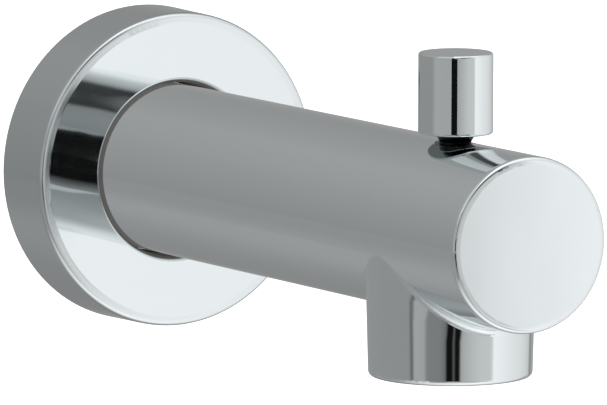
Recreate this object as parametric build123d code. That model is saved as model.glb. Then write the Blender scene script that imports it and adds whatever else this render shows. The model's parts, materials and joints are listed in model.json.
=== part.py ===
from build123d import *
import os
from math import radians, sqrt, tan

# Bath spout with a lift-knob diverter. Sizes are in millimetres.
# Frame: origin at the centre of the wall plane, +Z up, and the spout reaches out along -Y.

# Barrel: straight and round, with a flat closed front
barrel_diameter = 38.0
barrel_wall = 3.0
spout_reach = 165.3
front_wall = 3.0
front_edge_radius = 1.7
barrel_wall_gap = 2.0

# Outlet: a short tapered nozzle under the barrel's front end
outlet_setback = 32.2
outlet_inset = 1.35
outlet_draft_deg = 1.6
outlet_drop = 31.7
outlet_wall = 2.4
outlet_edge_radius = 1.2
outlet_mouth_chamfer = 0.5
junction_radius = 2.2

# Wall flange: a hollow cup with a hub around the barrel
flange_diameter = 71.0
flange_depth = 16.4
flange_draft_deg = 1.0
flange_rim_wall = 2.4
flange_face_wall = 3.0
flange_edge_radius = 2.4
flange_inner_radius = 1.0
seam_gap = 0.4
seam_lip_radius = 3.5
hub_wall = 2.4
hub_wall_gap = 4.0
flange_groove_depth = 1.1
flange_groove_width = 2.0
flange_groove_reach = 8.0

# Diverter knob, a plain cylinder on a conical neck
knob_setback = 30.5
knob_diameter = 16.1
knob_height = 17.5
knob_gap = 1.75
knob_top_edge_radius = 0.6
knob_foot_edge_radius = 0.6
neck_top_diameter = 8.8
neck_foot_diameter = 6.8
knob_thread_depth = 9.0

# Diverter action
lift_travel = 12.0
rest_gap = 0.15
top_stop_gap = 0.3
slide_gap = 0.3

# Lift stem
stem_diameter = 4.0
stem_head_diameter = 6.0
stem_head_height = 1.6
stem_slot_gap = 0.25
stem_head_gap = 0.2
stem_plate_gap = 0.2

# Stem bushing and the boss that holds it
bushing_diameter = 9.0
bushing_length = 5.44
bushing_run_gap = 0.05
bushing_fit_gap = 0.03
boss_wall = 2.6
stem_groove_depth = 1.4
stem_groove_width = 1.8
stem_groove_share = 0.68
bushing_groove_depth = 0.85
bushing_groove_width = 1.2
bushing_groove_share = 0.22

# Partition with its port, and the gate that closes it
partition_wall = 2.0
port_diameter = 10.5
gate_width = 15.0
gate_plate = 2.2
gate_corner_radius = 1.5
gate_floor_gap = 0.35
gate_boss_width = 11.0
gate_boss_height = 6.5
gate_boss_lip = 2.2
gate_boss_depth = 4.4
gate_stud_diameter = 4.0
seal_diameter = 14.0
seal_thickness = 1.8
rail_width = 2.0
rail_depth = 4.5

# Inlet adapter with the slip socket for a half-inch copper tube
adapter_rear_reach = 20.0
adapter_length = 42.0
adapter_fit_gap = 0.05
tube_bore_diameter = 16.1
tube_stop_diameter = 13.0
tube_stop_length = 4.0
bore_mouth_chamfer = 0.6
adapter_waist_diameter = 27.0
adapter_waist_start = 14.0
adapter_waist_length = 12.0
tube_groove_depth = 1.75
tube_groove_width = 2.5
tube_groove_rear_start = 28.0
tube_groove_pitch = 6.0
tube_ring_reach_in = 0.2
adapter_groove_depth = 1.6
adapter_groove_width = 2.4
adapter_groove_start = 34.0

# Set screw that clamps the tube from below
screw_diameter = 6.0
screw_start = 8.0
screw_recess = 1.1
screw_tip_gap = 0.3
screw_point_length = 1.0
screw_hex_across_flats = 3.0
screw_hex_depth = 3.0
screw_fit_gap = 0.03
screw_access_diameter = 7.0

# Rings lie this far from their grooves and shafts
ring_seat_gap = 0.03

# Places worked out from the sizes above
barrel_radius = barrel_diameter / 2
cavity_radius = barrel_radius - barrel_wall
barrel_rear_y = -barrel_wall_gap
front_y = -spout_reach
outlet_y = front_y + outlet_setback
outlet_tip_z = -outlet_drop
outlet_tip_radius = barrel_radius - outlet_inset
outlet_bore_radius = outlet_tip_radius - outlet_wall
outlet_root_radius = outlet_tip_radius + outlet_drop * tan(radians(outlet_draft_deg))
stem_y = front_y + knob_setback
stem_radius = stem_diameter / 2
bushing_radius = bushing_diameter / 2
bushing_top_z = sqrt(barrel_radius**2 - bushing_radius**2)
bushing_foot_z = bushing_top_z - bushing_length
knob_foot_z = barrel_radius + knob_gap
knob_top_z = knob_foot_z + knob_height
neck_foot_z = bushing_top_z + rest_gap
gate_bottom_z = -sqrt(cavity_radius**2 - (gate_width / 2) ** 2) + gate_floor_gap
gate_top_z = bushing_foot_z - top_stop_gap - lift_travel
gate_middle_z = (gate_bottom_z + gate_top_z) / 2
port_z = gate_middle_z + lift_travel
gate_back_y = stem_y - stem_radius - stem_plate_gap
gate_front_y = gate_back_y - gate_plate
seal_front_y = gate_front_y - seal_thickness
partition_rear_y = seal_front_y - slide_gap
partition_front_y = partition_rear_y - partition_wall
head_top_z = gate_top_z - gate_boss_lip - stem_head_gap
head_foot_z = head_top_z - stem_head_height
adapter_radius = cavity_radius - adapter_fit_gap
adapter_rear_y = -adapter_rear_reach
adapter_front_y = adapter_rear_y - adapter_length
tube_radius = tube_bore_diameter / 2
screw_y = adapter_rear_y - screw_start
screw_radius = screw_diameter / 2
hub_radius = barrel_radius + seam_gap
flange_radius = flange_diameter / 2
flange_front_radius = flange_radius - flange_depth * tan(radians(flange_draft_deg))


def rod_y(radius, y_from, y_to):
    """Solid cylinder about the Y axis between two places on it."""
    return extrude(Plane.XZ.offset(-max(y_from, y_to)) * Circle(radius), abs(y_to - y_from))


def rod_z(radius, y, z_from, z_to):
    """Solid cylinder about an upright axis at x = 0."""
    return extrude(Plane.XY.offset(min(z_from, z_to)) * Pos(0, y) * Circle(radius), abs(z_to - z_from))


def block(width, y_from, y_to, z_from, z_to, x=0.0):
    """Solid box, centred on x, between two places in Y and two in Z."""
    middle = Pos(x, (y_from + y_to) / 2, (z_from + z_to) / 2)
    return middle * Box(width, abs(y_to - y_from), abs(z_to - z_from))


def rounded(face, corner, radius):
    """Profile with the corner nearest to a point rounded."""
    return fillet(face.vertices().sort_by_distance(corner)[0], radius)


def ring_in(inner, outer, place):
    """Profile circle of an O-ring held between two radii, at a place along its axis."""
    return Pos((inner + outer) / 2, place) * Circle((outer - inner) / 2 - ring_seat_gap)


def turned_y(profile):
    """Revolves a profile of (radius, y) about the Y axis."""
    return revolve(profile, Axis.Y)


def turned_z(profile, y):
    """Revolves a profile of (radius, z) about an upright axis at the given y."""
    return Pos(0, y, 0) * revolve(Plane.XZ * profile, Axis.Z)


def outline(*points):
    """Closed face through the given points."""
    return make_face(Polyline(*points, close=True))


def spout_body():
    """One casting: barrel, outlet, partition with its port, gate rails and stem boss."""
    barrel = rod_y(barrel_radius, barrel_rear_y, front_y)
    barrel = fillet(barrel.edges().sort_by(Axis.Y)[0], front_edge_radius)
    nozzle_profile = outline(
        (0, outlet_tip_z), (outlet_tip_radius, outlet_tip_z), (outlet_root_radius, 0), (0, 0)
    )
    nozzle_profile = rounded(nozzle_profile, (outlet_tip_radius, outlet_tip_z), outlet_edge_radius)
    nozzle = turned_z(nozzle_profile, outlet_y)
    outer = barrel + nozzle
    outer = fillet(new_edges(barrel, nozzle, combined=outer), junction_radius)

    boss = rod_z(bushing_radius + boss_wall, stem_y, bushing_foot_z, barrel_radius)
    cavity = rod_y(cavity_radius, barrel_rear_y, partition_rear_y) - boss
    rail_x = gate_width / 2 + slide_gap + rail_width / 2
    for side in (-1, 1):
        rail_rear_y = partition_rear_y + rail_depth
        cavity -= block(
            rail_width, partition_rear_y, rail_rear_y, -barrel_radius, barrel_radius, side * rail_x
        )
    chamber = rod_y(cavity_radius, partition_front_y, front_y + front_wall)
    port = Pos(0, 0, port_z) * rod_y(port_diameter / 2, partition_rear_y, partition_front_y)

    bore = rod_z(outlet_bore_radius, outlet_y, outlet_tip_z, -cavity_radius / 2)
    bore -= rod_y(barrel_radius, barrel_rear_y, partition_front_y)
    mouth_profile = outline(
        (0, outlet_tip_z),
        (outlet_bore_radius + outlet_mouth_chamfer, outlet_tip_z),
        (outlet_bore_radius, outlet_tip_z + outlet_mouth_chamfer),
        (0, outlet_tip_z + outlet_mouth_chamfer),
    )
    mouth = turned_z(mouth_profile, outlet_y)
    bushing_hole = rod_z(bushing_radius + bushing_fit_gap, stem_y, bushing_foot_z, barrel_radius)
    screw_access = rod_z(screw_access_diameter / 2, screw_y, -barrel_radius, -cavity_radius / 2)
    return outer - cavity - chamber - port - bore - mouth - bushing_hole - screw_access


def wall_flange():
    """Hollow cup that covers the hole in the wall, with a hub around the barrel."""
    face_y = -flange_depth
    inner_y = face_y + flange_face_wall
    hub_outer = hub_radius + hub_wall
    rim_inner = flange_radius - flange_rim_wall
    cup = outline(
        (hub_radius, -hub_wall_gap),
        (hub_outer, -hub_wall_gap),
        (hub_outer, inner_y),
        (rim_inner, inner_y),
        (rim_inner, 0),
        (flange_radius, 0),
        (flange_front_radius, face_y),
        (hub_radius, face_y),
    )
    cup = rounded(cup, (flange_front_radius, face_y), flange_edge_radius)
    cup = rounded(cup, (hub_radius, face_y), seam_lip_radius)
    cup = rounded(cup, (hub_outer, inner_y), flange_inner_radius)
    cup = rounded(cup, (rim_inner, inner_y), flange_inner_radius)
    groove = Pos(hub_radius, -flange_groove_reach) * Rectangle(2 * flange_groove_depth, flange_groove_width)
    return turned_y(cup - groove)


def flange_o_ring():
    return turned_y(ring_in(barrel_radius, hub_radius + flange_groove_depth, -flange_groove_reach))


def tube_groove_y(index):
    """Middle of one of the two grooves that hold the tube's seals."""
    return adapter_rear_y - tube_groove_rear_start - index * tube_groove_pitch


def adapter_groove_y():
    return adapter_rear_y - adapter_groove_start


def inlet_adapter():
    """Turned brass adapter with the socket for the copper tube."""
    stop_y = adapter_front_y + tube_stop_length
    waist_y = adapter_rear_y - adapter_waist_start
    profile = outline(
        (tube_radius + bore_mouth_chamfer, adapter_rear_y),
        (adapter_radius, adapter_rear_y),
        (adapter_radius, waist_y),
        (adapter_waist_diameter / 2, waist_y),
        (adapter_waist_diameter / 2, waist_y - adapter_waist_length),
        (adapter_radius, waist_y - adapter_waist_length),
        (adapter_radius, adapter_front_y),
        (tube_stop_diameter / 2, adapter_front_y),
        (tube_stop_diameter / 2, stop_y),
        (tube_radius, stop_y),
        (tube_radius, adapter_rear_y - bore_mouth_chamfer),
    )
    for index in range(2):
        profile -= Pos(tube_radius, tube_groove_y(index)) * Rectangle(2 * tube_groove_depth, tube_groove_width)
    profile -= Pos(adapter_radius, adapter_groove_y()) * Rectangle(2 * adapter_groove_depth, adapter_groove_width)
    screw_hole = rod_z(screw_radius + screw_fit_gap, screw_y, -cavity_radius, -tube_radius / 2)
    return turned_y(profile) - screw_hole


def adapter_o_ring():
    return turned_y(ring_in(adapter_radius - adapter_groove_depth, cavity_radius, adapter_groove_y()))


def tube_o_ring(index):
    inner = tube_radius - tube_ring_reach_in
    return turned_y(ring_in(inner, tube_radius + tube_groove_depth, tube_groove_y(index)))


def set_screw():
    """Headless screw with a hexagon socket, backed off from the tube's bore."""
    tip_z = -tube_radius - screw_tip_gap
    foot_z = screw_recess - adapter_radius
    point_radius = screw_radius - screw_point_length
    profile = outline(
        (0, foot_z),
        (screw_radius, foot_z),
        (screw_radius, tip_z - screw_point_length),
        (point_radius, tip_z),
        (0, tip_z),
    )
    socket = RegularPolygon(screw_hex_across_flats / 2, 6, major_radius=False)
    recess = extrude(Plane.XY.offset(foot_z) * Pos(0, screw_y) * socket, screw_hex_depth)
    return turned_z(profile, screw_y) - recess


def diverter_knob():
    """Turned knob with its conical neck, tapped from below for the stem."""
    knob_radius = knob_diameter / 2
    profile = outline(
        (0, neck_foot_z),
        (neck_foot_diameter / 2, neck_foot_z),
        (neck_foot_diameter / 2, barrel_radius),
        (neck_top_diameter / 2, knob_foot_z),
        (knob_radius, knob_foot_z),
        (knob_radius, knob_top_z),
        (0, knob_top_z),
    )
    profile = rounded(profile, (knob_radius, knob_top_z), knob_top_edge_radius)
    profile = rounded(profile, (knob_radius, knob_foot_z), knob_foot_edge_radius)
    thread = rod_z(stem_radius + bushing_fit_gap, stem_y, neck_foot_z, neck_foot_z + knob_thread_depth)
    return turned_z(profile, stem_y) - thread


def lift_stem():
    """Round rod screwed into the knob, with a button head that hangs the gate."""
    rod = rod_z(stem_radius, stem_y, head_foot_z, neck_foot_z + knob_thread_depth)
    return rod + rod_z(stem_head_diameter / 2, stem_y, head_foot_z, head_top_z)


def stem_groove_z():
    return bushing_foot_z + stem_groove_share * bushing_length


def bushing_groove_z():
    return bushing_foot_z + bushing_groove_share * bushing_length


def stem_bushing():
    """Guide bush for the stem, grooved inside and outside for its seals."""
    bore_radius = stem_radius + bushing_run_gap
    profile = outline(
        (bore_radius, bushing_foot_z),
        (bushing_radius, bushing_foot_z),
        (bushing_radius, bushing_top_z),
        (bore_radius, bushing_top_z),
    )
    profile -= Pos(stem_radius, stem_groove_z()) * Rectangle(2 * stem_groove_depth, stem_groove_width)
    profile -= Pos(bushing_radius, bushing_groove_z()) * Rectangle(2 * bushing_groove_depth, bushing_groove_width)
    return turned_z(profile, stem_y)


def stem_o_ring():
    return turned_z(ring_in(stem_radius, stem_radius + stem_groove_depth, stem_groove_z()), stem_y)


def bushing_o_ring():
    inner = bushing_radius - bushing_groove_depth
    return turned_z(ring_in(inner, bushing_radius + bushing_fit_gap, bushing_groove_z()), stem_y)


def diverter_gate():
    """Sliding plate with a stud for its seal and a T-slot boss for the stem's head."""
    plate = block(gate_width, gate_front_y, gate_back_y, gate_bottom_z, gate_top_z)
    plate = fillet(plate.edges().filter_by(Axis.Y), gate_corner_radius)
    boss_rear_y = stem_y + gate_boss_depth
    boss = block(gate_boss_width, gate_back_y, boss_rear_y, gate_top_z - gate_boss_height, gate_top_z)
    stud = Pos(0, 0, gate_middle_z) * rod_y(gate_stud_diameter / 2, gate_front_y, seal_front_y)
    slot_radius = stem_radius + stem_slot_gap
    stem_slot = rod_z(slot_radius, stem_y, head_top_z, gate_top_z)
    stem_slot += block(2 * slot_radius, stem_y, boss_rear_y, head_top_z, gate_top_z)
    head_radius = stem_head_diameter / 2 + stem_slot_gap
    slot_top_z = head_top_z + stem_head_gap
    slot_foot_z = head_foot_z - stem_head_gap
    head_slot = rod_z(head_radius, stem_y, slot_foot_z, slot_top_z)
    head_slot += block(2 * head_radius, stem_y, boss_rear_y, slot_foot_z, slot_top_z)
    return plate + boss + stud - stem_slot - head_slot


def gate_seal():
    """Rubber disc on the gate's front, moulded around its stud."""
    disc = rod_y(seal_diameter / 2, gate_front_y, seal_front_y)
    hole = rod_y(gate_stud_diameter / 2 + ring_seat_gap, gate_front_y, seal_front_y)
    return Pos(0, 0, gate_middle_z) * (disc - hole)


pieces = {
    "spout_body": spout_body(),
    "wall_flange": wall_flange(),
    "flange_o_ring": flange_o_ring(),
    "inlet_adapter": inlet_adapter(),
    "adapter_o_ring": adapter_o_ring(),
    "tube_o_ring_rear": tube_o_ring(0),
    "tube_o_ring_front": tube_o_ring(1),
    "set_screw": set_screw(),
    "diverter_knob": diverter_knob(),
    "lift_stem": lift_stem(),
    "stem_bushing": stem_bushing(),
    "stem_o_ring": stem_o_ring(),
    "bushing_o_ring": bushing_o_ring(),
    "diverter_gate": diverter_gate(),
    "gate_seal": gate_seal(),
}
os.makedirs("parts", exist_ok=True)
for name, piece in pieces.items():
    export_step(piece, f"parts/{name}.step")
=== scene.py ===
import json
from math import atan2, cos, hypot, pi, radians, sin

import bmesh
import bpy
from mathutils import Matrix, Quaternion, Vector


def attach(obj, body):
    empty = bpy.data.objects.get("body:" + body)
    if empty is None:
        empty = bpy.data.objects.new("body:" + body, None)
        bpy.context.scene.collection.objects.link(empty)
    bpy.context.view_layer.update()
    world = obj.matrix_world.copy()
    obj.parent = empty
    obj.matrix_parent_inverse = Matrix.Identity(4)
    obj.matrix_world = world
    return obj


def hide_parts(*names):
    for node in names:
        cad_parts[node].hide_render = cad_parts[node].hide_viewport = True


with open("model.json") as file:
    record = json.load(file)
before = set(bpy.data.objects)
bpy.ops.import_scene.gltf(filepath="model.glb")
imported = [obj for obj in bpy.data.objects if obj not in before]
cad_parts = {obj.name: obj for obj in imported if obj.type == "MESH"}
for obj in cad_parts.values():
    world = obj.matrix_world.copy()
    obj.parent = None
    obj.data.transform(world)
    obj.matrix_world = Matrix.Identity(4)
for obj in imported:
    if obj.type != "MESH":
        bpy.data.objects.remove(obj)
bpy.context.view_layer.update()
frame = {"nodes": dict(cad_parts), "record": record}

# Lengths are in metres and angles in degrees, unless a name says otherwise.

# Camera: a long lens from the front left, a little above the barrel, aimed below its target by the drop
CAMERA_AZIMUTH = -30.71
CAMERA_ELEVATION = 7.18
CAMERA_ROLL = 0.15
CAMERA_DISTANCE = 2.375
CAMERA_TARGET = Vector((0.0, -0.07125, 0.00475))
CAMERA_DROP = 0.005976
CAMERA_LENS_MM = 643.4
CAMERA_SENSOR_MM = 36.0
CAMERA_CLIP_END = 100.0

# Studio: a round light tent about the spout's middle, over a pale floor that leaves room for views from below
WHITE = (1, 1, 1, 1)
WORLD_STRENGTH = 1.0
TENT_CENTRE = Vector((0.0, -0.075, 0.0))
TENT_RADIUS = 0.8
TENT_SEGMENTS = 96
FLOOR_LEVEL = -6.0
FLOOR_SIZE = 120.0
FLOOR_COLOUR = (0.86, 0.86, 0.86)
FLOOR_GLOW = 0.55

# Light around the tent: each stop is an angle from the camera to the viewer's right, and the light there
DARK = 0.006
RIGHT_STOPS = (
    (30, 0.585), (40, 0.645), (54, 0.66), (57, 0.74), (60, 1.06), (82, 0.97), (95, 0.91), (108, 0.86),
)
WALL_STOPS = (
    (-60, 0.44), (0, 0.43), (8, 0.44), (20, 0.52), *RIGHT_STOPS, (125, 0.75), (150, 0.5),
)
LOW_STOPS = (
    (-120, 0.335), (-55.5, 0.325), (-53, 0.18), (-50, 0.18), (-47.5, 0.44), (-34, 0.42), (-29, 0.25),
    (-12, 0.24), (-6, 0.19), (-3, DARK), (3.5, DARK), (5.5, 0.12), (7.5, DARK), (12.5, DARK), (15, 0.43),
    (20, 0.5), *RIGHT_STOPS, (125, 0.74), (134, 0.63), (138, 0.33), (142, 0.3), (150, 0.42),
)
TABLE_STOPS = (
    (-168, 0.28), (-158, 0.295), (-142, 0.335), (-131, 0.38), (-124, 0.39), (-110, 0.34), (-66, 0.36),
    (-40, 0.38), (-10, 0.28), (0, 0.29), (9, 0.345), (21, 0.43), (35, 0.465), (42, 0.66), (46, 0.85),
    (54, 1.0), (60, 1.1), (118, 0.85), (126, 0.5),
)
# Rows of the tent from below: elevation, the light straight behind the object, and the stops between
TENT_ROWS = (
    (-85, 0.8, ()),
    (-70, 0.35, (
        (-119, 0.4), (-92, 0.6), (-50, 0.95), (-16, 1.1), (30, 1.2), (60, 1.2), (126, 0.6),
    )),
    (-48, 0.28, (
        (-141, 0.3), (-92, 0.45), (-50, 0.8), (0, 1.0), (21, 1.1), (42, 1.2), (60, 1.2), (118, 0.85),
        (126, 0.5),
    )),
    (-32, 0.275, TABLE_STOPS),
    (-22, 0.275, TABLE_STOPS),
    (-14.5, 0.325, LOW_STOPS),
    (-8.5, 0.325, LOW_STOPS),
    (-7.5, 0.37, ((-150, 0.318), (-74, 0.32), *WALL_STOPS)),
    (17.5, 0.325, ((-160, 0.345), (-118, 0.375), (-74, 0.36), *WALL_STOPS)),
    (20, 0.325, (
        (-150, 0.36), (-125, 0.385), (-66, 0.38), (-58, 0.55), (-10, 0.5), (0, 0.3), (18, 0.28), (21, 0.1),
        (46, 0.1), (50, 0.4), (60, 0.9), (120, 0.8), (130, 0.5),
    )),
    (32, 0.34, (
        (-154, 0.377), (-141, 0.41), (-66, 0.42), (-58, 0.72), (-5, 0.7), (5, 0.4), (18, 0.3), (21, 0.05),
        (46, 0.05), (50, 0.5), (60, 0.9), (120, 0.8), (130, 0.5),
    )),
    (50, 0.38, (
        (-66, 0.45), (-58, 0.7), (-8, 0.7), (-3, 1.3), (80, 1.3), (120, 0.9), (140, 0.5),
    )),
    (80, 0.4, (
        (-66, 0.45), (-10, 0.5), (0, 1.5), (120, 1.0), (140, 0.45),
    )),
)

# Dark cards that hang upright between the object and the camera: distance, sideways range and height range
DARK_CARDS = (
    (0.4, (-0.054, 0.057), (-0.04, 0.012)),
    (0.401, (-0.042, 0.0), (-0.075, 0.16)),
)
# Grey card that lies low in front of the spout
LOW_CARD_LIGHT = 0.6
LOW_CARD_LEVEL = -0.1
LOW_CARD_SIDES = (-0.12, 0.08)
LOW_CARD_REACH = (-0.32, -0.25)

# Lip of the flange's hole around the barrel: its radius in the solid, and the narrower width that is shown
HUB_RADIUS = 0.0194
SOLID_LIP = 0.0035
LIP_WIDTH = 0.0014
LIP_TOLERANCE = 0.00003
# Front edges: where the arc starts from the axis, its radius in the solid, and how square it is drawn, where
# 2 is round
FLANGE_EDGE = (0.03286, 0.0024, 4)
BARREL_EDGE = (0.0173, 0.0017, 3)

# Seam painted as shade, and metal without plate: behind a depth and within a radius of the barrel's axis, and
# in the outlet
SEAM_SHADE = (-0.0158, 0.0196)
FLANGE_CUP = (-0.0135, 0.0332)
BARREL_BORE = (-0.1624, 0.0161)
OUTLET_PLACE = -0.1331
OUTLET_RADIUS = 0.0154
OUTLET_ROOF = -0.0115
# Painted shade on the flange's lip and rim, and duller plate on its rounded edge: the radii between which
# each sets in
LIP_RADII = (0.0208, 0.02)
EDGE_RADII = (0.0327, 0.0333)
RIM_RADII = (0.0344, 0.0352)
# Painted shade on the knob's underside and neck: radius about the stem, and height that it reaches up to
STEM_PLACE = -0.1348
UNDERSIDE = (0.0075, 0.0208)
NECK = (0.0046, 0.0206)

# Plate and bare metal, with the roughness of the shiniest and the dullest spots
PLATE_COLOUR = (0.765, 0.81, 0.82)
PLATE_ROUGHNESS = (0.03, 0.06)
# This colour also paints the shade in the seam behind the flange's face
BARE_AND_SEAM_SHADE_COLOUR = (0.33, 0.325, 0.31)
BARE_ROUGHNESS = (0.4, 0.6)
# Colour and roughness of the places: painted shade on the lip, rim, underside and neck, and a duller edge
LIP_PAINTED_SHADE = ((0.6, 0.62, 0.61), 0.1)
EDGE_FINISH = (PLATE_COLOUR, 0.2)
RIM_PAINTED_SHADE = ((0.62, 0.655, 0.665), 0.08)
UNDERSIDE_PAINTED_SHADE = ((0.33, 0.35, 0.355), 0.1)
NECK_PAINTED_SHADE = ((0.02, 0.021, 0.022), 0.3)
# Colours of the darkest and palest spots of other materials, and the roughness of each
BRASS_COLOURS = ((0.62, 0.42, 0.17), (0.86, 0.68, 0.36))
BRASS_ROUGHNESS = (0.36, 0.21)
STEEL_COLOURS = ((0.5, 0.5, 0.52), (0.68, 0.68, 0.7))
STEEL_ROUGHNESS = (0.2, 0.35)
SCREW_COLOURS = ((0.2, 0.2, 0.21), (0.34, 0.34, 0.35))
SCREW_ROUGHNESS = (0.25, 0.45)
RUBBER_COLOURS = ((0.012, 0.012, 0.013), (0.035, 0.035, 0.036))
RUBBER_ROUGHNESS = (0.5, 0.7)
ACETAL_COLOURS = ((0.02, 0.02, 0.023), (0.04, 0.04, 0.044))
ACETAL_ROUGHNESS = (0.3, 0.5)

# Size of surface detail
PLATE_WAVE = 0.02
PLATE_HAZE = PLATE_WAVE / 4
CAST_GRAIN = 0.0005
BRASS_TARNISH = PLATE_WAVE / 3
STEEL_SHADE = PLATE_WAVE / 8
TURNING_PITCH = 0.0003
THREAD_PITCH = 0.001
RUBBER_GRAIN = 0.0004
ACETAL_GRAIN = 0.0007
# Height of surface detail. The casting's grain is a share of the waves, and a mould's of its own size.
PLATE_WAVE_HEIGHT = 0.0001
FLANGE_WAVE_HEIGHT = 0.0003
TURNING_HEIGHT = 0.00001
CAST_SHARE = 0.3
MOULD_SHARE = 0.1
# How strongly it is shown, where 1 is in full
METAL_BUMP = 0.5
THREAD_BUMP = 1.0
MOULD_BUMP = 0.4

# Mix nodes for numbers and for colours: data type, inputs for the share and the two ends, and output
NUMBER_MIX = ("FLOAT", (0, 2, 3), 0)
COLOUR_MIX = ("RGBA", (0, 6, 7), 2)


def new_material(name):
    """Material without nodes, and its node tree."""
    material = bpy.data.materials.new(name)
    material.use_nodes = True
    material.node_tree.nodes.clear()
    return material, material.node_tree


def fill_input(tree, node, key, value):
    """Links a socket into an input of a node, or sets a plain value there."""
    if isinstance(value, bpy.types.NodeSocket):
        tree.links.new(value, node.inputs[key])
    else:
        node.inputs[key].default_value = value


def add_node(tree, kind, inputs=None, **settings):
    """Adds a node, sets its properties and fills its inputs."""
    node = tree.nodes.new(kind)
    for key, value in settings.items():
        setattr(node, key, value)
    for key, value in (inputs or {}).items():
        fill_input(tree, node, key, value)
    return node


def show(tree, shader):
    """Makes a shader the surface of its material."""
    add_node(tree, "ShaderNodeOutputMaterial", {"Surface": shader})


def glow(tree, strength):
    """Shader that gives off white light."""
    return add_node(tree, "ShaderNodeEmission", {"Color": WHITE, "Strength": strength}).outputs[0]


def calculate(tree, operation, *values):
    """Math node on sockets and plain numbers."""
    return add_node(tree, "ShaderNodeMath", dict(enumerate(values)), operation=operation).outputs[0]


def mix(tree, kind, values):
    """Mix node on a share and two ends."""
    data_type, inputs, output = kind
    return add_node(tree, "ShaderNodeMix", dict(zip(inputs, values)), data_type=data_type).outputs[output]


def blend(tree, share, low, high):
    """Number between two others."""
    return mix(tree, NUMBER_MIX, (share, low, high))


def blend_colour(tree, share, low, high):
    """Colour between two others."""
    ends = [end if isinstance(end, bpy.types.NodeSocket) else (*end, 1) for end in (low, high)]
    return mix(tree, COLOUR_MIX, (share, *ends))


def step(tree, value, start, end):
    """Share that goes from 0 to 1 between two values."""
    inputs = {"Value": value, "From Min": start, "From Max": end}
    return add_node(tree, "ShaderNodeMapRange", inputs).outputs["Result"]


def own_place(tree):
    """Place of a point in its object's frame."""
    return add_node(tree, "ShaderNodeTexCoord").outputs["Object"]


def axes_of(tree, place):
    """X, Y and Z of a place."""
    parts = add_node(tree, "ShaderNodeSeparateXYZ", {"Vector": place}).outputs
    return [parts[axis] for axis in "XYZ"]


def radius(tree, a, b):
    """Distance from an axis."""
    return calculate(tree, "SQRT", calculate(tree, "MULTIPLY_ADD", a, a, calculate(tree, "MULTIPLY", b, b)))


def add_object(name, data):
    """New object in the scene."""
    obj = bpy.data.objects.new(name, data)
    bpy.context.scene.collection.objects.link(obj)
    return obj


def link_mesh(name, shape):
    """Object made from a bmesh."""
    mesh = bpy.data.meshes.new(name)
    shape.to_mesh(mesh)
    shape.free()
    return add_object(name, mesh)


def make_camera():
    """Camera at the photograph's viewing angle."""
    data = bpy.data.cameras.new("photo_camera")
    data.lens = CAMERA_LENS_MM
    data.sensor_width = CAMERA_SENSOR_MM
    data.clip_end = CAMERA_CLIP_END
    camera = add_object("photo_camera", data)
    azimuth, elevation = radians(CAMERA_AZIMUTH), radians(CAMERA_ELEVATION)
    back = Vector((sin(azimuth) * cos(elevation), -cos(azimuth) * cos(elevation), sin(elevation)))
    right = Vector((cos(azimuth), sin(azimuth), 0))
    aim = CAMERA_TARGET - back.cross(right) * CAMERA_DROP
    camera.location = CAMERA_TARGET + back * CAMERA_DISTANCE
    level = (camera.location - aim).to_track_quat("Z", "Y")
    camera.rotation_euler = (level @ Quaternion((0, 0, 1), radians(CAMERA_ROLL))).to_euler()
    bpy.context.scene.camera = camera


def make_world():
    """Even white light from all round."""
    world = bpy.data.worlds.new("studio")
    world.use_nodes = True
    background = world.node_tree.nodes["Background"]
    background.inputs["Color"].default_value = WHITE
    background.inputs["Strength"].default_value = WORLD_STRENGTH
    bpy.context.scene.world = world


def light_row(tree, share, back, stops):
    """Ramp of light around the tent at one elevation."""
    ramp = add_node(tree, "ShaderNodeValToRGB", {"Fac": share})
    elements = ramp.color_ramp.elements
    round_stops = ((-180, back), *stops, (180, back))
    while len(elements) < len(round_stops):
        elements.new(0.5)
    for element, (angle, light) in zip(elements, round_stops):
        element.position = (angle + 180) / 360
        element.color = (light, light, light, 1)
    return ramp.outputs["Color"]


def tent_cloth():
    """Glowing cloth whose light changes around the tent and with height."""
    material, tree = new_material("tent_cloth")
    x, y, z = axes_of(tree, own_place(tree))
    # The tent is turned so that its own -Y points at the camera. The share of a turn is 0.5 there.
    angle = calculate(tree, "ARCTAN2", x, calculate(tree, "MULTIPLY", y, -1.0))
    share = calculate(tree, "MULTIPLY_ADD", angle, 0.5 / pi, 0.5)
    height = calculate(tree, "ARCSINE", calculate(tree, "DIVIDE", z, TENT_RADIUS))
    elevation = calculate(tree, "DEGREES", height)
    levels = [level for level, _, _ in TENT_ROWS]
    light, *rows = [light_row(tree, share, back, stops) for _, back, stops in TENT_ROWS]
    for low, high, row in zip(levels, levels[1:], rows):
        light = blend(tree, step(tree, elevation, low, high), light, row)
    show(tree, glow(tree, light))
    return material


def studio_only(obj):
    """Marks a studio piece that lights the object and shows in it, but not to the camera."""
    obj.visible_camera = False
    obj.visible_shadow = False


def make_tent():
    """Round light tent, turned to the camera."""
    shape = bmesh.new()
    half = TENT_SEGMENTS // 2
    bmesh.ops.create_uvsphere(shape, u_segments=TENT_SEGMENTS, v_segments=half, radius=TENT_RADIUS)
    tent = link_mesh("light_tent", shape)
    tent.data.materials.append(tent_cloth())
    tent.location = TENT_CENTRE
    tent.rotation_euler = (0, 0, radians(CAMERA_AZIMUTH))
    studio_only(tent)


def make_card(name, corners, light):
    """Flat card that gives off the same light all over."""
    shape = bmesh.new()
    shape.faces.new([shape.verts.new(corner) for corner in corners])
    card = link_mesh(name, shape)
    material, tree = new_material(name)
    show(tree, glow(tree, light))
    card.data.materials.append(material)
    studio_only(card)


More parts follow.
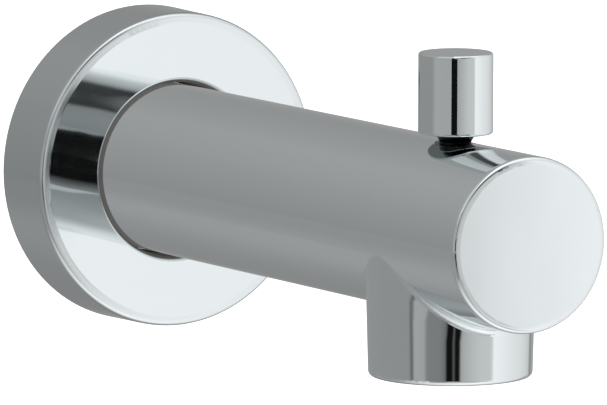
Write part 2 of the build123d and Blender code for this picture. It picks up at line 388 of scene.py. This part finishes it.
def make_cards():
    """Upright dark cards and a low grey one, which show in the chrome."""
    azimuth = radians(CAMERA_AZIMUTH)
    right = Vector((cos(azimuth), sin(azimuth), 0))
    front = Vector((sin(azimuth), -cos(azimuth), 0))
    # Which end of the two ranges each corner takes, in turn round the card
    turns = ((0, 0), (1, 0), (1, 1), (0, 1))
    for index, (distance, sides, heights) in enumerate(DARK_CARDS):
        middle = TENT_CENTRE + front * distance
        corners = [middle + right * sides[i] + Vector((0, 0, heights[j])) for i, j in turns]
        make_card(f"dark_card_{index}", corners, DARK)
    low = [Vector((LOW_CARD_SIDES[i], LOW_CARD_REACH[j], LOW_CARD_LEVEL)) for i, j in turns]
    make_card("grey_card", low, LOW_CARD_LIGHT)


def make_floor():
    """Pale floor that keeps the shadow and shows near white to the camera and in mirrors."""
    shape = bmesh.new()
    bmesh.ops.create_grid(shape, x_segments=1, y_segments=1, size=FLOOR_SIZE / 2)
    floor = link_mesh("floor", shape)
    material, tree = new_material("floor_paint")
    paint = add_node(tree, "ShaderNodeBsdfDiffuse", {"Color": (*FLOOR_COLOUR, 1)}).outputs[0]
    path = add_node(tree, "ShaderNodeLightPath").outputs
    shown = calculate(tree, "MAXIMUM", path["Is Camera Ray"], path["Is Glossy Ray"])
    shown = calculate(tree, "MAXIMUM", shown, path["Is Transmission Ray"])
    lift = glow(tree, calculate(tree, "MULTIPLY", shown, FLOOR_GLOW))
    show(tree, add_node(tree, "ShaderNodeAddShader", {0: paint, 1: lift}).outputs[0])
    floor.data.materials.append(material)
    floor.location.z = FLOOR_LEVEL


def grain(tree, place, size, detail=2.0):
    """Noise whose features have about the given size."""
    inputs = {"Vector": place, "Scale": 1.0 / size, "Detail": detail}
    return add_node(tree, "ShaderNodeTexNoise", inputs).outputs["Fac"]


def raised(tree, height, depth, strength=METAL_BUMP):
    """Normal of a surface raised by its height times a depth."""
    inputs = {"Height": height, "Distance": depth, "Strength": strength}
    return add_node(tree, "ShaderNodeBump", inputs).outputs["Normal"]


def tool_rings(tree, along):
    """Normal of a turned surface, with fine rings one after another along its axis."""
    rings = calculate(tree, "SINE", calculate(tree, "MULTIPLY", along, 2 * pi / TURNING_PITCH))
    return raised(tree, rings, TURNING_HEIGHT)


def surface(tree, colour, roughness, normal, metallic=1.0):
    """Principled surface, metal unless said otherwise."""
    inputs = {"Base Color": colour, "Roughness": roughness, "Normal": normal, "Metallic": metallic}
    show(tree, add_node(tree, "ShaderNodeBsdfPrincipled", inputs).outputs[0])


def bare_and_seam_shade(tree, x, y, z):
    """1 in the seam, which it paints as shade, and where metal has no plate: flange's cup, barrel and outlet,
    else 0.
    """
    from_axis = radius(tree, x, z)
    from_outlet = radius(tree, x, calculate(tree, "SUBTRACT", y, OUTLET_PLACE))
    near = calculate(tree, "LESS_THAN", from_outlet, OUTLET_RADIUS)
    mask = calculate(tree, "MULTIPLY", near, calculate(tree, "LESS_THAN", z, OUTLET_ROOF))
    for depth, reach in (SEAM_SHADE, FLANGE_CUP, BARREL_BORE):
        near = calculate(tree, "LESS_THAN", from_axis, reach)
        zone = calculate(tree, "MULTIPLY", near, calculate(tree, "GREATER_THAN", y, depth))
        mask = calculate(tree, "MAXIMUM", mask, zone)
    return mask


def ring(limits):
    """Makes a mask that goes from 0 to 1 between two distances from the barrel's axis."""

    def mask(tree, x, y, z):
        return step(tree, radius(tree, x, z), *limits)

    return mask


def under_knob(limits):
    """Makes a mask that is 1 within a radius of the stem's axis and below a height, else 0."""
    reach, top = limits

    def mask(tree, x, y, z):
        from_stem = radius(tree, x, calculate(tree, "SUBTRACT", y, STEM_PLACE))
        near = calculate(tree, "LESS_THAN", from_stem, reach)
        return calculate(tree, "MULTIPLY", near, calculate(tree, "LESS_THAN", z, top))

    return mask


def chrome(name, places=(), wave_height=PLATE_WAVE_HEIGHT):
    """Polished plate with the faint waves of a buffed casting, grainy metal without plate inside, and painted
    seam shade.

    Each place is a mask with the colour and the roughness of the plate there; some of these colours are
    painted shade.
    """
    material, tree = new_material(name)
    place = own_place(tree)
    axes = axes_of(tree, place)
    bare_and_shade = bare_and_seam_shade(tree, *axes)
    wave = grain(tree, place, PLATE_WAVE, detail=1.0)
    haze = grain(tree, place, PLATE_HAZE)
    cast = grain(tree, place, CAST_GRAIN)
    colour = PLATE_COLOUR
    polish = blend(tree, haze, *PLATE_ROUGHNESS)
    for mask, shade, dull in places:
        inside = mask(tree, *axes)
        colour = blend_colour(tree, inside, colour, shade)
        polish = blend(tree, inside, polish, dull)
    # Metal without plate, and the painted shade in the seam, take the same dark colour
    colour = blend_colour(tree, bare_and_shade, colour, BARE_AND_SEAM_SHADE_COLOUR)
    roughness = blend(tree, bare_and_shade, polish, blend(tree, cast, *BARE_ROUGHNESS))
    relief = blend(tree, bare_and_shade, wave, calculate(tree, "MULTIPLY", cast, CAST_SHARE))
    surface(tree, colour, roughness, raised(tree, relief, wave_height))
    return material


def chrome_knob():
    """Chrome with painted shade on the knob's underside and neck."""
    places = [
        (under_knob(UNDERSIDE), *UNDERSIDE_PAINTED_SHADE),
        (under_knob(NECK), *NECK_PAINTED_SHADE),
    ]
    return chrome("chrome_knob", places)


def chrome_flange():
    """Chrome with deeper waves, painted shade on the lip and rim, and a duller edge."""
    places = [
        (ring(LIP_RADII), *LIP_PAINTED_SHADE),
        (ring(EDGE_RADII), *EDGE_FINISH),
        (ring(RIM_RADII), *RIM_PAINTED_SHADE),
    ]
    return chrome("chrome_flange", places, FLANGE_WAVE_HEIGHT)


def brass():
    """Turned brass with fine tool rings and slight tarnish."""
    material, tree = new_material("brass")
    place = own_place(tree)
    _, y, _ = axes_of(tree, place)
    spots = grain(tree, place, BRASS_TARNISH, detail=4.0)
    colour = blend_colour(tree, spots, *BRASS_COLOURS)
    surface(tree, colour, blend(tree, spots, *BRASS_ROUGHNESS), tool_rings(tree, y))
    return material


def steel():
    """Drawn stainless with fine tool rings."""
    material, tree = new_material("steel")
    place = own_place(tree)
    _, _, z = axes_of(tree, place)
    spots = grain(tree, place, STEEL_SHADE)
    colour = blend_colour(tree, spots, *STEEL_COLOURS)
    surface(tree, colour, blend(tree, spots, *STEEL_ROUGHNESS), tool_rings(tree, z))
    return material


def threaded_steel():
    """Dark steel of the set screw, with its thread."""
    material, tree = new_material("threaded_steel")
    place = own_place(tree)
    _, _, z = axes_of(tree, place)
    spots = grain(tree, place, STEEL_SHADE)
    colour = blend_colour(tree, spots, *SCREW_COLOURS)
    # The thread's height is in metres already, so its depth is 1.
    thread = raised(tree, calculate(tree, "PINGPONG", z, THREAD_PITCH / 2), 1.0, THREAD_BUMP)
    surface(tree, colour, blend(tree, spots, *SCREW_ROUGHNESS), thread)
    return material


def moulded(name, colours, roughness, size):
    """Moulded rubber or plastic with a fine grain."""
    material, tree = new_material(name)
    spots = grain(tree, own_place(tree), size, detail=3.0)
    normal = raised(tree, spots, size * MOULD_SHARE, MOULD_BUMP)
    surface(tree, blend_colour(tree, spots, *colours), blend(tree, spots, *roughness), normal, metallic=0.0)
    return material


def turn_corners(mesh, normals, turned):
    """Gives the corners at some vertices the normals that belong there now."""
    for loop in mesh.loops:
        normals[loop.index] = turned.get(loop.vertex_index, normals[loop.index])


def square_edge(mesh, normals, edge):
    """Draws the round edge of a mesh's front, about the barrel's axis, out to a squarer curve."""
    start, arc, squareness = edge
    face = min(vertex.co.y for vertex in mesh.vertices)
    reach = 2 / squareness
    turned = {}
    for vertex in mesh.vertices:
        x, y, z = vertex.co
        distance = hypot(x, z)
        if distance > start and y < face + arc:
            turn = atan2(distance - start, face + arc - y)
            scale = (start + arc * sin(turn) ** reach) / distance
            vertex.co = (x * scale, face + arc * (1 - cos(turn) ** reach), z * scale)
            lean = sin(turn) ** (2 - reach) / distance
            turned[vertex.index] = Vector((x * lean, -cos(turn) ** (2 - reach), z * lean)).normalized()
    turn_corners(mesh, normals, turned)


def narrow_lip(mesh, normals):
    """Draws the round lip of the flange's hole in to an ellipse of the same depth."""
    face = min(vertex.co.y for vertex in mesh.vertices)
    share = LIP_WIDTH / SOLID_LIP
    turned = {}
    for vertex in mesh.vertices:
        x, y, z = vertex.co
        distance = hypot(x, z)
        outward, deep = distance - HUB_RADIUS, y - face
        off_arc = abs(hypot(SOLID_LIP - outward, SOLID_LIP - deep) - SOLID_LIP)
        if off_arc < LIP_TOLERANCE and max(outward, deep) < SOLID_LIP + LIP_TOLERANCE:
            scale = (HUB_RADIUS + outward * share) / distance
            vertex.co = (x * scale, y, z * scale)
            lean = (outward / SOLID_LIP - 1) / distance
            turned[vertex.index] = Vector((x * lean, (deep / SOLID_LIP - 1) * share, z * lean)).normalized()
    turn_corners(mesh, normals, turned)


def reshape_flange(mesh, normals):
    """Narrows the flange's lip and squares its outer front edge."""
    narrow_lip(mesh, normals)
    square_edge(mesh, normals, FLANGE_EDGE)


def reshape_casting(mesh, normals):
    """Squares the edge of the barrel's front."""
    square_edge(mesh, normals, BARREL_EDGE)


def stand_in(node, name, reshape, material):
    """Copy of a solid of the spout with its edges reshaped, shown in the solid's place."""
    mesh = frame["nodes"][node].data.copy()
    normals = [corner.vector.copy() for corner in mesh.corner_normals]
    reshape(mesh, normals)
    mesh.normals_split_custom_set(normals)
    mesh.materials.clear()
    mesh.materials.append(material)
    piece = add_object(name, mesh)
    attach(piece, "spout")
    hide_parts(node)
    return piece


make_camera()
make_world()
make_tent()
make_cards()
make_floor()

finishes = {
    "chrome_plate": chrome("chrome_plate"),
    "brass": brass(),
    "steel": steel(),
    "black_rubber": moulded("black_rubber", RUBBER_COLOURS, RUBBER_ROUGHNESS, RUBBER_GRAIN),
    "black_acetal": moulded("black_acetal", ACETAL_COLOURS, ACETAL_ROUGHNESS, ACETAL_GRAIN),
}
for subpart in frame["record"]["subparts"]:
    slots = frame["nodes"][subpart["node"]].data.materials
    slots.clear()
    slots.append(finishes[subpart["material_slot"]])
frame["nodes"]["set_screw"].data.materials[0] = threaded_steel()
frame["nodes"]["diverter_knob"].data.materials[0] = chrome_knob()
stand_in("spout_body", "spout_casting", reshape_casting, finishes["chrome_plate"])
flange = stand_in("wall_flange", "flange_cup", reshape_flange, chrome_flange())
# The barrel is shown without the flange's mirror image, as in the photograph.
flange.visible_glossy = False

bpy.context.scene.view_settings.view_transform = "Standard"
